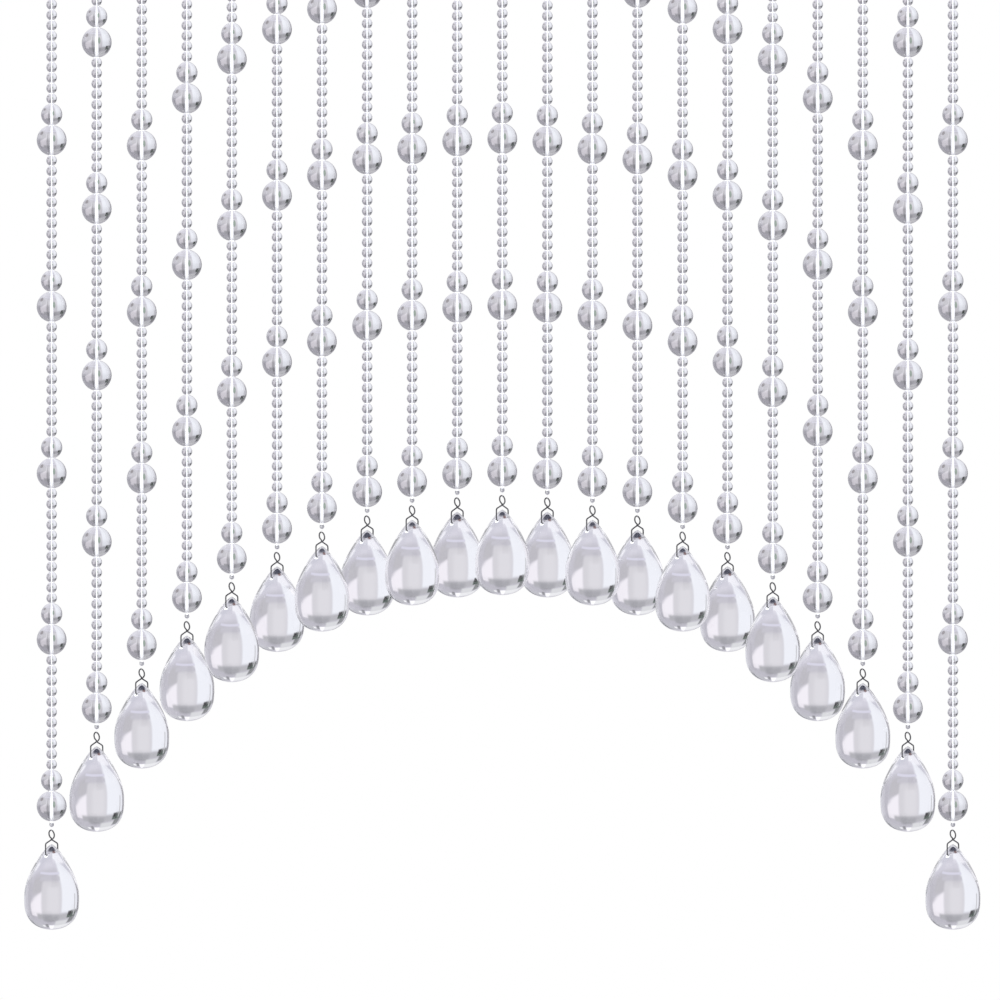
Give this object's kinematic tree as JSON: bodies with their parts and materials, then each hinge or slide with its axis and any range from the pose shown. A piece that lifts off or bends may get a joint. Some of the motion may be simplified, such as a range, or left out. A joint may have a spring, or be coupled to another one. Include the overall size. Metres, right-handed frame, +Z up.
{
  "type": "bead curtain",
  "caption": "Clear glass bead strings hung from a heading tape, their lower ends rising in an arch that is edged with pear-shaped glass drops.",
  "frame": {"origin": "middle of the heading tape's top edge, halfway through its thickness, where the curtain is held", "axes": "+Z up along the strings, +X along the heading to the right as seen from the front, -Y out of the front"},
  "size_m": [0.4456, 0.0408, 0.4662],
  "materials": {
    "bead_glass": "clear polished",
    "drop_glass": "clear polished with a faint lavender tint",
    "heading_tape": "white woven tape",
    "steel_wire": "plain bright wire and crimp beads",
    "thread": "white beading thread"
  },
  "bodies": {
    "root": {"heading": "heading_tape", "string_01": "bead_glass", "string_02": "bead_glass", "string_03": "bead_glass", "string_04": "bead_glass", "string_05": "bead_glass", "string_06": "bead_glass", "string_07": "bead_glass", "string_08": "bead_glass", "string_09": "bead_glass", "string_10": "bead_glass", "string_11": "bead_glass", "string_12": "bead_glass", "string_13": "bead_glass", "string_14": "bead_glass", "string_15": "bead_glass", "string_16": "bead_glass", "string_17": "bead_glass", "string_18": "bead_glass", "string_19": "bead_glass", "string_20": "bead_glass", "string_21": "bead_glass", "drop_01": "drop_glass", "drop_02": "drop_glass", "drop_03": "drop_glass", "drop_04": "drop_glass", "drop_05": "drop_glass", "drop_06": "drop_glass", "drop_07": "drop_glass", "drop_08": "drop_glass", "drop_09": "drop_glass", "drop_10": "drop_glass", "drop_11": "drop_glass", "drop_12": "drop_glass", "drop_13": "drop_glass", "drop_14": "drop_glass", "drop_15": "drop_glass", "drop_16": "drop_glass", "drop_17": "drop_glass", "drop_18": "drop_glass", "drop_19": "drop_glass", "drop_20": "drop_glass", "drop_21": "drop_glass"}
  },
  "joints": []
}
